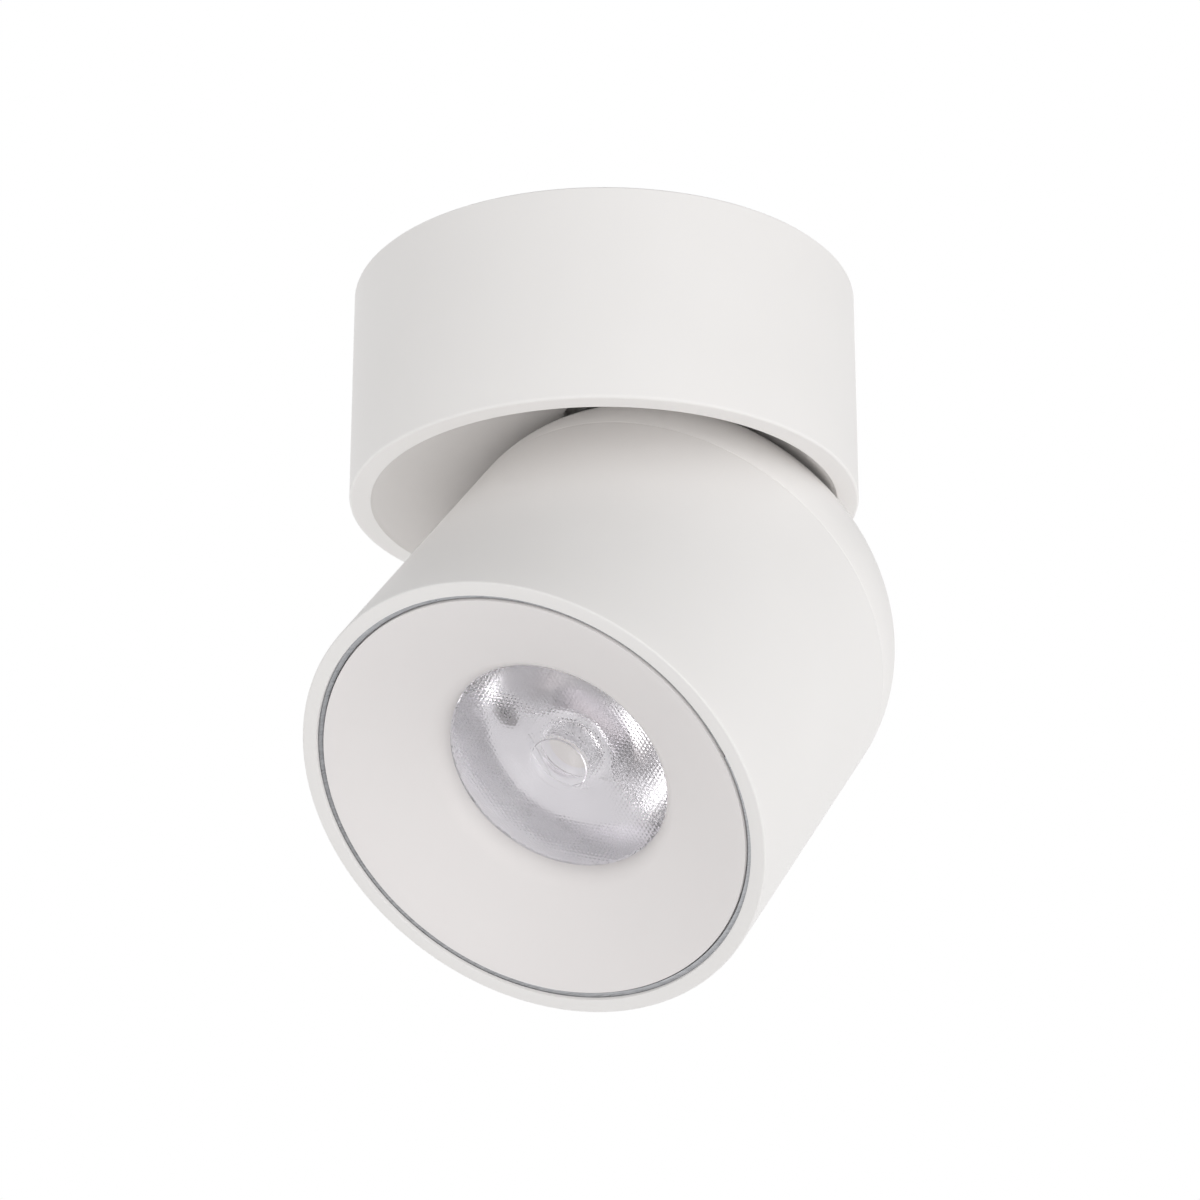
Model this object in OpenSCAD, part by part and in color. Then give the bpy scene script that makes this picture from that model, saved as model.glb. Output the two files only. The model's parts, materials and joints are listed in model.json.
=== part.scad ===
// Adjustable surface mounted ceiling spotlight. A round canopy is screwed to the ceiling.
// A cylindrical head pans under it on a hollow swivel and tilts on a steel arm, whose
// pivot lies inside the head, so that the head's rounded rear turns in the canopy's bowl.
// Millimetres. The origin is the middle of the ceiling face, +Z is up, the head leans to -Y.

/* [Canopy] */
// Outer diameter of the canopy
canopy_d = 100; // [99:0.5:106]
// Height of the canopy below the ceiling
canopy_h = 44; // [44:0.5:52]
// Thickness of the canopy's side wall
canopy_wall = 3; // [2.5:0.25:3.5]
// Diameter of the round mouth in the canopy's lower face
mouth_d = 91.5; // [91:0.25:93]
// Rounding of the canopy's lower outer edge
rim_round = 0.6; // [0.5:0.1:1.5]
// Thickness of the domed web over the mouth
web_t = 2.2; // [1.8:0.1:2.6]
// Thickness of the web's flat hub at its middle
hub_t = 3.3; // [2.6:0.1:3.5]

/* [Ceiling plate] */
// Thickness of the steel ceiling plate
plate_t = 1.5; // [1.2:0.1:2]
// Radial gap between the ceiling plate and the canopy's wall
plate_gap = 0.5; // [0.3:0.1:1]
// Distance between the two ceiling screws
slot_spacing = 60; // [54:1:66]
// Width of the slots for the ceiling screws
slot_w = 4.4; // [4:0.1:5]
// Length of the slots for the ceiling screws, end to end
slot_len = 10; // [8:0.5:12]
// Width of the two ears that the canopy is screwed to
ear_w = 10; // [8:0.5:12]
// Length of the ears below the ceiling plate
ear_h = 11; // [10:0.5:13]
// Distance of the canopy's side screws below the ceiling
side_screw_drop = 7.5; // [6:0.25:8]
// Direction of the canopy's side screws, counted from +X
side_screw_turn = 38; // [0:1:90]
// Bore of the grommet for the mains cable
cable_bore_d = 8; // [6:0.5:9]
// Distance of the mains cable behind the middle of the plate
cable_offset = 13; // [12:0.5:14]

/* [Driver and terminals] */
// Length of the driver's case
driver_len = 44; // [38:1:46]
// Width of the driver's case
driver_w = 18; // [15:0.5:18]
// Height of the driver's case
driver_h = 18.5; // [16:0.5:19]
// Length of each fixing ear of the driver
driver_ear = 6; // [5.5:0.25:6.5]
// Thickness of the driver's fixing ears
driver_ear_t = 2; // [1.5:0.1:3]
// Length of the terminal block
terminal_len = 24; // [21:1:28]
// Width of the terminal block
terminal_w = 13; // [11:0.5:14]
// Height of the terminal block
terminal_h = 11; // [9:0.5:12]
// Number of poles of the terminal block
terminal_poles = 3; // [2:1:3]

/* [Head] */
// Diameter of the head
head_d = 94; // [92:0.5:94.5]
// Length of the tube from its front edge to the seam with the rear cap
tube_len = 63.3; // [58:0.1:75]
// Length of the rear cap from the seam to its rear face
cap_len = 24.3; // [23.8:0.1:24.4]
// Wall thickness of the tube
tube_wall = 2.95; // [2.6:0.05:3.2]
// Rounding of the tube's front outer edge
front_round = 0.4; // [0.3:0.1:1]
// Wall thickness of the rear cap
cap_wall = 2.5; // [2:0.1:3]
// Rounding radius of the rear cap
cap_round = 21.5; // [20.5:0.25:22.5]
// Height of the cap's spigot inside the tube
spigot_h = 5; // [3:0.5:6]

/* [Pivot and arm] */
// Height of the canopy's lower face above the tilt pivot
pivot_drop = 42; // [41.75:0.25:42.75]
// Distance of the tilt pivot in front of the seam
pivot_ahead = 28; // [27.5:0.25:28.5]
// Tilt of the head from straight down, as it is drawn
tilt = 41.5; // [0:0.5:45]
// Largest tilt from straight down
tilt_max = 45; // [42:1:46]
// Diameter of the pivot bolt's shoulder
pivot_d = 5; // [4:0.25:6]
// Thickness of the arm
arm_t = 3; // [2.5:0.1:3.2]
// Width of the arm below the swivel
arm_w = 8; // [7:0.5:9]
// Width of the arm's head in the swivel's neck
arm_head_w = 14; // [13.5:0.5:15]
// Radius of the round boss at the arm's lower end
arm_end_r = 5.5; // [5:0.25:6]
// Thickness of the friction washers beside the arm
washer_t = 1.5; // [1:0.1:1.8]
// Width of the slot in the rear cap that the arm moves in
cap_slot_w = 6.4; // [5:0.1:8]

/* [Swivel] */
// Diameter of the swivel's neck in the middle of the bowl
neck_d = 15.4; // [15:0.1:16.4]
// Diameter of the swivel's flange above the web
flange_d = 24; // [22:0.5:25]
// Thickness of the swivel's flange
flange_t = 2.5; // [2:0.1:3]
// Thickness of the carrier plate that the swivel hangs from
carrier_t = 2; // [1.5:0.1:2.5]
// Outer diameter of the swivel's threaded stem
spindle_d = 10; // [9:0.25:10.5]
// Bore of the swivel for the lamp's leads
spindle_bore_d = 6.5; // [5:0.25:6.6]
// Width across flats of the nut on the stem
spindle_nut_af = 14; // [13.5:0.25:16]
// Height of the nut on the stem
spindle_nut_h = 4; // [3:0.25:4.5]
// Distance of the stop peg and the stop tab from the pan axis
stop_r = 11.5; // [11:0.25:11.75]

/* [Heat sink and lamp] */
// Thickness of the heat sink's base
sink_base_t = 4; // [3.5:0.25:5]
// Height of the fins above the base
fin_h = 23.5; // [16:0.5:24]
// Thickness of a fin
fin_t = 1.6; // [1.2:0.1:2]
// Spacing of the fins
fin_pitch = 5.5; // [4.5:0.25:6]
// Number of fins on each side of the arm
fin_count = 5; // [3:1:5]
// Side of the square light module
cob_w = 15.5; // [14:0.5:16]
// Diameter of the module's light emitting surface
emitter_d = 9.8; // [8:0.2:11]
// Diameter of the holder that clamps the light module
cob_holder_d = 33; // [32:0.5:35]

/* [Lens and baffle] */
// Diameter of the opening that shows the lens
aperture_d = 45.1; // [43:0.1:45.5]
// Height of the lens, from the light module's side to its face
lens_h = 10.6; // [9.5:0.1:12]
// Rounding radius of the baffle's inner lip
lip_round = 5; // [3:0.25:6]
// Thickness of the baffle's wall
baffle_t = 1.5; // [1.2:0.1:1.8]
// Width of the dark gap between the head's rim and the baffle
rim_gap = 1.15; // [0.9:0.05:1.4]
// Recess of the baffle's outer edge behind the head's front edge
baffle_recess = 0.5; // [0.3:0.1:0.9]
// Recess of the snap ring behind the head's front edge
ring_recess = 1; // [0.8:0.1:1.6]
// Thickness of the snap ring
ring_t = 1.2; // [1:0.1:1.5]
// Thickness of the lens's flange
lens_flange_t = 1.5; // [1.2:0.1:2]
// Width of the lens's flange outside the opening
lens_seat = 1.35; // [1.2:0.05:1.6]
// Diameter of the smooth disc in the middle of the lens's face
lens_disc_d = 11.4; // [10:0.2:12]

/* [Hidden] */
$fn = 96;

// Clearances between pieces
run_gap = 0.05;
seat_gap = 0.1;
sweep_gap = 0.5;
eps = 0.01;

// Screws: thread, clearance hole, thread hole, head diameter and head height
m3_d = 3;
m3_hole_d = 3.4;
m3_core_d = 3.1;
m3_head_d = 5.6;
m3_head_h = 2;
m3_len = 8;
m2_d = 2.5;
m2_core_d = 2.6;
m2_head_d = 4.4;
m2_head_h = 1.6;
socket_depth = 1.2;

// Canopy
canopy_r = canopy_d / 2;
cavity_r = canopy_r - canopy_wall;
mouth_r = mouth_d / 2;
pivot_z = -canopy_h - pivot_drop;
bowl_r = norm([mouth_r, pivot_drop]);

// Head, in its own frame: the pivot is the origin and the front looks along -Z
head_r = head_d / 2;
seam_z = pivot_ahead;
front_z = seam_z - tube_len;
rear_z = seam_z + cap_len;
round_z = rear_z - cap_round;
bore_r = head_r - tube_wall;
sweep_r = norm([head_r - cap_round, round_z]) + cap_round;
spigot_wall = 2.5;
spigot_step = 1;

// Hub of the web, and the swivel that hangs from the carrier plate above it
neck_gap = 0.3;
neck_r = neck_d / 2;
neck_lift = 2.1;
neck_low_z = pivot_z + sweep_r + neck_lift;
hub_top_z = pivot_z + bowl_r + hub_t;
flange_low_z = hub_top_z + sweep_gap;
flange_top_z = flange_low_z + flange_t;
disc_t = 0.5;
carrier_z = flange_top_z + disc_t;
carrier_top_z = carrier_z + carrier_t;
carrier_post_r = 2.6;
flange_side_gap = 1.3;
carrier_screw_r = flange_d / 2 + carrier_post_r + flange_side_gap;
carrier_r = carrier_screw_r + carrier_post_r;
carrier_turns = [90, 210, 330];
hub_margin = 0.2;
hub_r = carrier_r + hub_margin;
arm_top_z = flange_low_z + flange_t / 5;
arm_pin_d = 2;
arm_pin_y = 5.2;
arm_pin_z = (neck_low_z + arm_top_z) / 2;
stop_t = 1;
stop_tab_w = 2.2;
stop_peg_turn = 60;
stop_peg_h = 1.8;
stop_washer_r = 9;
spring_t = 0.6;
spring_h = 1.2;
spring_r = 8.5;
stop_z = carrier_top_z;
spring_z = stop_z + stop_t;
nut_z = spring_z + spring_h;
spindle_end = 1.2;
spindle_top_z = nut_z + spindle_nut_h + spindle_end;
arm_shoulder_z = neck_low_z + neck_gap;

// Ceiling plate
plate_r = cavity_r - plate_gap;
plate_low_z = -plate_t;
ear_inset = 2;
ear_face_r = plate_r - ear_inset;
ear_t = plate_t;
grommet_wall = 2;
grommet_lip = 1.5;
grommet_lip_t = 2;
grommet_r = cable_bore_d / 2 + grommet_wall;
earth_pos = [24, -14];
side_screw_len = 6;
side_screw_sink = 0.4;

// Driver and terminals
driver_gap = 0.5;
driver_hub_gap = 2;
driver_wall_gap = 2.5;
driver_far_y = sqrt(pow(cavity_r - driver_wall_gap, 2) - pow(driver_len / 2, 2));
driver_near_y = max(hub_r + driver_hub_gap, driver_far_y - driver_w);
driver_y = driver_near_y + driver_w / 2;
driver_low_z = pivot_z + sqrt(pow(bowl_r + web_t, 2) - pow(driver_near_y, 2)) + driver_gap;
driver_screw_x = driver_len / 2 + driver_ear / 2;
driver_ear_w = 8;
post_r = 2.9;
terminal_gap = 2.5;
terminal_y = -cable_offset - grommet_r - grommet_lip - terminal_gap - terminal_w / 2;
terminal_pitch = 7;
terminal_screw_x = terminal_pitch / 2;

// Heat sink and light module, in the head's frame
tip_gap = 0.5;
sink_skin = 2.5;
sink_front_z = -(arm_end_r + tip_gap + sink_skin);
sink_top_z = sink_front_z + sink_base_t;
sink_gap = 0.35;
fin_gap = 2.75;
sink_r = bore_r - sink_gap;
fin_r = bore_r - fin_gap;
fin_first_x = 13.5;
lug_in = arm_t / 2 + washer_t + run_gap;
lug_t = 4.5;
lug_out = lug_in + lug_t;
lug_r = 8;
pivot_head_d = 8.4;
pivot_nut_af = 7;
pivot_nut_h = 3.2;
cap_screw_r = 36.5;
cap_screw_turns = [0, 120, 240];
pillar_r = 3.5;
ledge_w = 3;
ledge_t = 2.5;
pad_t = 0.3;
board_t = 1.2;
emitter_t = 0.6;
pad_z = sink_front_z - pad_t;
board_z = pad_z - board_t;
cob_holder_t = 2.2;
cob_screw_r = 13.4;
lens_screw_r = 30;
lead_hole_r = 2.6;
lead_lip = 0.8;
lead_gap = 0.4;
lead_hole_y = -(cob_holder_d / 2 + lead_hole_r + lead_lip + lead_gap);

// Lens and baffle, in the head's frame
aperture_r = aperture_d / 2;
lens_sink = 0.3;
lens_ledge = 1.5;
lens_lamp_gap = 0.2;
lens_back_z = board_z - emitter_t - lens_lamp_gap;
lens_front_z = lens_back_z - lens_h;
aperture_z = lens_front_z - lens_sink;
lens_r = aperture_r + lens_seat;
lens_body_r = lens_r - lens_ledge;
lens_back_r = 8;
lens_flare = 0.95;
lens_well_r = 6.2;
lens_well_top_r = 5.2;
lens_well_h = 0.45 * lens_h;
lens_well_bulge = 1.2;
lens_disc_lift = 0.2;
holder_wall = 1.6;
holder_gap = 0.2;
holder_in_r = lens_r + holder_gap;
holder_out_r = holder_in_r + holder_wall;
baffle_r = bore_r - rim_gap;
baffle_front_z = front_z + baffle_recess;
baffle_foot = 8;
baffle_foot_z = front_z + baffle_foot;
ring_front_z = front_z + ring_recess;
ring_back_z = ring_front_z + ring_t;
ring_groove = 0.6;
ring_play = 0.2;
ring_in_r = baffle_r + ring_play;
lip_x = aperture_r + lip_round;
lip_z = aperture_z;

// Points of a circular arc, n steps from angle a to angle b
function arc(x, z, r, a, b, n) =
  [for (i = [0:n]) let (t = a + (b - a) * i / n) [x + r * cos(t), z + r * sin(t)]];

// Turning angle at which the baffle's cone touches the rolled lip
function cone_turn(r) =
  let (dx = baffle_r - lip_x, dz = baffle_front_z - lip_z, d = norm([dx, dz]))
  atan2(dz, dx) - acos(r / d);

// Places a child of the head: the head's frame is tilted about the pivot
module in_head() {
  translate([0, 0, pivot_z])
    rotate([-tilt, 0, 0])
      children();
}

module ring(r_out, r_in, z, h) {
  translate([0, 0, z])
    difference() {
      cylinder(r = r_out, h = h);
      translate([0, 0, -eps]) cylinder(r = r_in, h = h + 2 * eps);
    }
}

// A screw that points up from its head's lower face at z = 0
module screw_up(d, len, head_d, head_h) {
  difference() {
    union() {
      translate([0, 0, -head_h]) cylinder(d = head_d, h = head_h);
      translate([0, 0, -eps]) cylinder(d = d, h = len + eps);
    }
    translate([0, 0, -head_h - eps]) cylinder(d = d * 0.7, h = socket_depth, $fn = 6);
  }
}

module screw_down(d, len, head_d, head_h) {
  mirror([0, 0, 1]) screw_up(d, len, head_d, head_h);
}

module at_cap_screws() {
  for (a = cap_screw_turns)
    rotate([0, 0, a]) translate([cap_screw_r, 0, 0]) children();
}

module at_side_screws() {
  for (a = [0, 180])
    rotate([0, 0, side_screw_turn + a])
      translate([0, 0, -side_screw_drop])
        rotate([0, 90, 0])
          children();
}

module ceiling_slot() {
  reach = (slot_len - slot_w) / 2;
  for (side = [-1, 1])
    translate([side * reach, 0, -plate_t - eps]) cylinder(d = slot_w, h = plate_t + 2 * eps);
  translate([-reach, -slot_w / 2, -plate_t - eps])
    cube([2 * reach, slot_w, plate_t + 2 * eps]);
}

// Steel plate that is screwed to the ceiling, with two ears bent down for the canopy
module ceiling_plate() {
  color("silver")
    difference() {
      union() {
        translate([0, 0, -plate_t]) cylinder(r = plate_r, h = plate_t);
        for (a = [0, 180])
          rotate([0, 0, side_screw_turn + a])
            translate([ear_face_r - ear_t, -ear_w / 2, -plate_t - ear_h])
              cube([ear_t, ear_w, ear_h + eps]);
      }
      for (side = [-1, 1]) translate([side * slot_spacing / 2, 0, 0]) ceiling_slot();
      translate([0, -cable_offset, -plate_t - eps])
        cylinder(r = grommet_r, h = plate_t + 2 * eps);
      translate([earth_pos[0], earth_pos[1], -plate_t - eps])
        cylinder(d = m3_core_d, h = plate_t + 2 * eps);
      translate([terminal_screw_x, terminal_y, -plate_t - eps])
        cylinder(d = m2_core_d, h = plate_t + 2 * eps);
      at_side_screws()
        translate([0, 0, ear_face_r - ear_t - eps]) cylinder(d = m3_core_d, h = ear_t + 2 * eps);
    }
}

module canopy_posts() {
  for (side = [-1, 1])
    translate([side * driver_screw_x, driver_y, -canopy_h + rim_round])
      cylinder(r = post_r, h = driver_low_z + canopy_h - rim_round);
}

module at_carrier_screws() {
  for (a = carrier_turns)
    rotate([0, 0, a]) translate([carrier_screw_r, 0, 0]) children();
}

module carrier_posts() {
  at_carrier_screws()
    translate([0, 0, hub_top_z - eps]) cylinder(r = carrier_post_r, h = carrier_z - hub_top_z + eps);
}

// Hollow above the domed web, open towards the ceiling
module canopy_cavity() {
  difference() {
    translate([0, 0, -canopy_h + rim_round]) cylinder(r = cavity_r, h = canopy_h);
    translate([0, 0, pivot_z]) sphere(r = bowl_r + web_t);
    translate([0, 0, -canopy_h]) cylinder(r = hub_r, h = hub_top_z + canopy_h);
    canopy_posts();
    carrier_posts();
  }
}

// Canopy: side wall, domed web whose underside is the bowl, hub and posts
module canopy_housing() {
  color("white")
    difference() {
      rotate_extrude()
        union() {
          translate([0, -canopy_h]) square([canopy_r - rim_round, canopy_h]);
          translate([0, -canopy_h + rim_round]) square([canopy_r, canopy_h - rim_round]);
          translate([canopy_r - rim_round, -canopy_h + rim_round]) circle(r = rim_round);
        }
      translate([0, 0, pivot_z]) sphere(r = bowl_r, $fn = 180);
      canopy_cavity();
      translate([0, 0, -canopy_h]) cylinder(r = neck_r + neck_gap, h = canopy_h);
      at_carrier_screws()
        translate([0, 0, hub_top_z - hub_t / 2])
          cylinder(d = m2_core_d, h = hub_t + carrier_z - hub_top_z);
      for (side = [-1, 1])
        translate([side * driver_screw_x, driver_y, driver_low_z - m3_len])
          cylinder(d = m3_core_d, h = m3_len + eps);
      at_side_screws() translate([0, 0, cavity_r - 1])
        cylinder(d = m3_hole_d, h = canopy_wall + 2);
    }
}

// Two socket set screws that hold the canopy to the ears of the ceiling plate
module canopy_screws() {
  color("gainsboro")
    at_side_screws()
      translate([0, 0, canopy_r - side_screw_sink - side_screw_len])
        difference() {
          cylinder(d = m3_d, h = side_screw_len);
          translate([0, 0, side_screw_len - socket_depth])
            cylinder(d = m3_d * 0.6, h = socket_depth + eps, $fn = 6);
        }
}

// Rubber grommet that the mains cable comes through
module cable_grommet() {
  color("dimgray")
    translate([0, -cable_offset, 0])
      difference() {
        union() {
          translate([0, 0, -plate_t - eps]) cylinder(r = grommet_r - seat_gap, h = plate_t + eps);
          translate([0, 0, -plate_t - grommet_lip_t])
            cylinder(r = grommet_r + grommet_lip, h = grommet_lip_t);
        }
        translate([0, 0, -plate_t - grommet_lip_t - eps])
          cylinder(d = cable_bore_d, h = plate_t + grommet_lip_t + 2 * eps);
      }
}

module earth_screw() {
  color("gold")
    translate([earth_pos[0], earth_pos[1], plate_low_z])
      screw_up(m3_d, plate_t - seat_gap, m3_head_d + 1, m3_head_h);
}

// Terminal block for the mains leads: cable holes across it, clamp screws from below
module terminal_block() {
  pole_x = [for (i = [0:terminal_poles - 1]) (i - (terminal_poles - 1) / 2) * terminal_pitch];
  low_z = plate_low_z - terminal_h;
  color("whitesmoke")
    difference() {
      translate([-terminal_len / 2, terminal_y - terminal_w / 2, low_z])
        cube([terminal_len, terminal_w, terminal_h]);
      for (x = pole_x) {
        translate([x, terminal_y - terminal_w / 2 - eps, low_z + terminal_h * 0.45])
          rotate([-90, 0, 0]) cylinder(d = 3.6, h = terminal_w + 2 * eps);
        translate([x, terminal_y - terminal_w / 4, low_z - eps])
          cylinder(d = 3.2, h = terminal_h * 0.45);
        translate([x, terminal_y + terminal_w / 4, low_z - eps])
          cylinder(d = 3.2, h = terminal_h * 0.45);
      }
      translate([terminal_screw_x, terminal_y, low_z - eps])
        cylinder(d = m2_core_d, h = terminal_h + 2 * eps);
    }
}

module terminal_screw() {
  color("silver")
    translate([terminal_screw_x, terminal_y, plate_low_z - terminal_h])
      screw_up(m2_d, terminal_h + plate_t - seat_gap, m2_head_d, m2_head_h);
}

module driver_outline() {
  corner = 2;
  for (sx = [-1, 1])
    for (sy = [-1, 1])
      translate([sx * (driver_len / 2 - corner), sy * (driver_w / 2 - corner)]) circle(r = corner);
  square([driver_len - 2 * corner, driver_w], center = true);
  square([driver_len, driver_w - 2 * corner], center = true);
}

// Constant current driver in a plastic case, with an ear at each end
module led_driver() {
  color("white")
    translate([0, driver_y, driver_low_z])
      difference() {
        union() {
          linear_extrude(height = driver_h) driver_outline();
          translate([-driver_len / 2 - driver_ear, -driver_ear_w / 2, 0])
            cube([driver_len + 2 * driver_ear, driver_ear_w, driver_ear_t]);
        }
        for (side = [-1, 1]) {
          translate([side * driver_screw_x, 0, -eps])
            cylinder(d = m3_hole_d, h = driver_ear_t + 2 * eps);
          translate([side * (driver_len / 2 - 4), 0, driver_h * 0.6])
            rotate([0, side * 90, 0]) cylinder(d = 5, h = 4 + eps);
        }
      }
}

module driver_screws() {
  color("silver")
    for (side = [-1, 1])
      translate([side * driver_screw_x, driver_y, driver_low_z + driver_ear_t])
        screw_down(m3_d, m3_len - 1, m3_head_d - 0.2, m3_head_h);
}

// Steel plate on three posts of the hub: the swivel turns in its middle
module carrier_plate() {
  color("silver")
    difference() {
      union() {
        translate([0, 0, carrier_z]) cylinder(r = carrier_r, h = carrier_t);
        rotate([0, 0, stop_peg_turn])
          translate([stop_r, 0, carrier_z]) cylinder(d = stop_tab_w, h = carrier_t + stop_peg_h);
      }
      translate([0, 0, carrier_z - eps])
        cylinder(d = spindle_d + 2 * run_gap, h = carrier_t + 2 * eps);
      at_carrier_screws() translate([0, 0, carrier_z - eps])
        cylinder(d = m2_core_d, h = carrier_t + 2 * eps);
    }
}

module carrier_screws() {
  color("silver")
    at_carrier_screws()
      translate([0, 0, carrier_top_z])
        screw_down(m2_d, carrier_top_z - hub_top_z + hub_t / 2 - 0.3, m2_head_d, m2_head_h);
}

// Swivel: slotted neck for the arm, flange under the carrier plate and hollow threaded stem
module swivel_hub() {
  color("white")
    difference() {
      union() {
        translate([0, 0, neck_low_z]) cylinder(r = neck_r, h = flange_top_z - neck_low_z);
        translate([0, 0, flange_low_z]) cylinder(d = flange_d, h = flange_t);
        translate([0, 0, flange_top_z - eps])
          cylinder(d = spindle_d, h = spindle_top_z - flange_top_z + eps);
      }
      translate([0, 0, neck_low_z - eps])
        cylinder(d = spindle_bore_d, h = spindle_top_z - neck_low_z + 2 * eps);
      translate([-arm_t / 2 - run_gap, -neck_r - 1, neck_low_z - eps])
        cube([arm_t + 2 * run_gap, 2 * neck_r + 2, arm_top_z - neck_low_z + run_gap]);
      at_arm_pins() cylinder(d = arm_pin_d + 2 * run_gap, h = neck_d, center = true);
    }
}

module at_arm_pins() {
  for (side = [-1, 1])
    translate([0, side * arm_pin_y, arm_pin_z]) rotate([0, 90, 0]) children();
}

// Two cross pins that hold the arm in the neck
module arm_pins() {
  pin_len = 2 * sqrt(pow(neck_r, 2) - pow(arm_pin_y + arm_pin_d / 2, 2)) - 0.4;
  color("gray")
    at_arm_pins() cylinder(d = arm_pin_d, h = pin_len, center = true);
}

// Steel arm from the swivel's neck down to the tilt pivot inside the head
module swivel_arm() {
  top = arm_top_z - pivot_z;
  shoulder = arm_shoulder_z - pivot_z;
  color("gainsboro")
    difference() {
      translate([-arm_t / 2, 0, pivot_z])
        rotate([90, 0, 90])
          linear_extrude(height = arm_t)
            union() {
              circle(r = arm_end_r);
              translate([-arm_w / 2, 0]) square([arm_w, shoulder + eps]);
              translate([-arm_head_w / 2, shoulder]) square([arm_head_w, top - shoulder]);
            }
      translate([-arm_t, 0, pivot_z])
        rotate([0, 90, 0]) cylinder(d = pivot_d + 2 * run_gap, h = 2 * arm_t);
      at_arm_pins() cylinder(d = arm_pin_d + 2 * run_gap, h = neck_d, center = true);
    }
}

module friction_disc() {
  color("ivory")
    ring(flange_d / 2 - 0.5, spindle_d / 2 + seat_gap, flange_top_z, disc_t);
}

// Washer keyed to the stem, whose tab meets the carrier's peg after most of a turn
module stop_washer() {
  color("silver")
    difference() {
      translate([0, 0, stop_z])
        union() {
          cylinder(r = stop_washer_r, h = stop_t);
          rotate([0, 0, stop_peg_turn + 180])
            translate([0, -stop_tab_w / 2, 0]) cube([stop_r + 1, stop_tab_w, stop_t]);
        }
      translate([0, 0, stop_z - eps])
        cylinder(r = spindle_d / 2 + seat_gap, h = stop_t + 2 * eps);
    }
}

// Conical spring washer that keeps the pan joint stiff
module disc_spring() {
  inner = spindle_d / 2 + seat_gap;
  lift = spring_h - spring_t;
  color("gray")
    rotate_extrude()
      polygon([
        [spring_r, spring_z], [spring_r, spring_z + spring_t],
        [inner, spring_z + spring_t + lift], [inner, spring_z + lift]
      ]);
}

module spindle_nut() {
  color("goldenrod")
    difference() {
      translate([0, 0, nut_z]) cylinder(d = spindle_nut_af / cos(30), h = spindle_nut_h, $fn = 6);
      translate([0, 0, nut_z - eps])
        cylinder(r = spindle_d / 2 + run_gap, h = spindle_nut_h + 2 * eps);
    }
}

// Turned tube of the head, with a ledge for the baffle and one for the heat sink
module head_housing() {
  color("white")
    in_head()
      rotate_extrude()
        difference() {
          union() {
            translate([0, front_z]) square([head_r - front_round, tube_len]);
            translate([0, front_z + front_round]) square([head_r, tube_len - front_round]);
            translate([head_r - front_round, front_z + front_round]) circle(r = front_round);
          }
          translate([-1, baffle_foot_z]) square([bore_r - ledge_w + 1, tube_len]);
          translate([-1, front_z - 1]) square([bore_r + 1, baffle_foot_z - front_z + 1]);
          translate([0, baffle_foot_z + ledge_t])
            square([bore_r, sink_front_z - 2 * ledge_t - baffle_foot_z]);
          translate([0, sink_front_z]) square([bore_r, tube_len]);
          translate([0, ring_front_z - seat_gap])
            square([bore_r + ring_groove + seat_gap, ring_t + 2 * seat_gap]);
        }
}

// Outline of the round ended cap: straight side, quarter round and flat end
module cap_outline(r, round, z_low, z_high) {
  translate([0, z_low]) square([r, z_high - round - z_low]);
  translate([0, z_low]) square([r - round, z_high - z_low]);
  intersection() {
    translate([r - round, z_high - round]) circle(r = round);
    translate([0, z_low]) square([r, z_high - z_low]);
  }
}

// Space that the arm sweeps, seen along the tilt axis, with its running gap
module arm_sweep() {
  reach = 2 * head_d;
  half = arm_w / 2 + sweep_gap;
  for (a = [0, tilt_max])
    rotate(a) translate([-half, 0]) square([2 * half, reach]);
  polygon(concat([[0, 0]], [for (i = [0:4]) let (a = tilt_max * i / 4) reach * [-sin(a), cos(a)]]));
}

// Rear cap: domed shell with the arm's slot, a spigot for the tube and three screw pillars
module rear_cap() {
  color("white")
    in_head()
      difference() {
        union() {
          rotate_extrude()
            difference() {
              union() {
                cap_outline(head_r, cap_round, seam_z + seat_gap, rear_z);
                translate([0, seam_z - spigot_h])
                  square([bore_r - seat_gap, spigot_h + seat_gap + eps]);
              }
              cap_outline(head_r - cap_wall, cap_round - cap_wall,
                          seam_z + spigot_step, rear_z - cap_wall);
              translate([-1, seam_z - spigot_h - 1])
                square([bore_r - spigot_wall + 1, spigot_h + spigot_step + 1 + eps]);
            }
          intersection() {
            at_cap_screws()
              translate([0, 0, sink_top_z + run_gap]) cylinder(r = pillar_r, h = tube_len);
            rotate_extrude() cap_outline(head_r - 1, cap_round - 1, sink_top_z - 1, rear_z - 1);
          }
        }
        rotate([90, 0, 90])
          linear_extrude(height = cap_slot_w, center = true)
            arm_sweep();
        at_cap_screws() translate([0, 0, sink_top_z - eps]) cylinder(d = m3_core_d, h = 2 * m3_len);
      }
}

module cap_screws() {
  color("silver")
    in_head()
      at_cap_screws()
        translate([0, 0, sink_front_z])
          screw_up(m3_d, sink_base_t + m3_len, m3_head_d, m3_head_h);
}

module at_cob_screws() {
  for (a = [45, 225])
    rotate([0, 0, a]) translate([cob_screw_r, 0, 0]) children();
}

module at_lens_screws() {
  for (a = [90, 270])
    rotate([0, 0, a]) translate([lens_screw_r, 0, 0]) children();
}

module sink_fins() {
  difference() {
    intersection() {
      translate([0, 0, sink_top_z - eps]) cylinder(r = fin_r, h = fin_h);
      for (side = [-1, 1])
        for (i = [0:fin_count - 1])
          translate([side * (fin_first_x + i * fin_pitch) - fin_t / 2, -head_r, sink_top_z - eps])
            cube([fin_t, head_d, fin_h]);
    }
    at_cap_screws()
      translate([0, 0, sink_front_z]) cylinder(r = pillar_r + 2 * tip_gap, h = sink_base_t + fin_h);
  }
}

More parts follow.
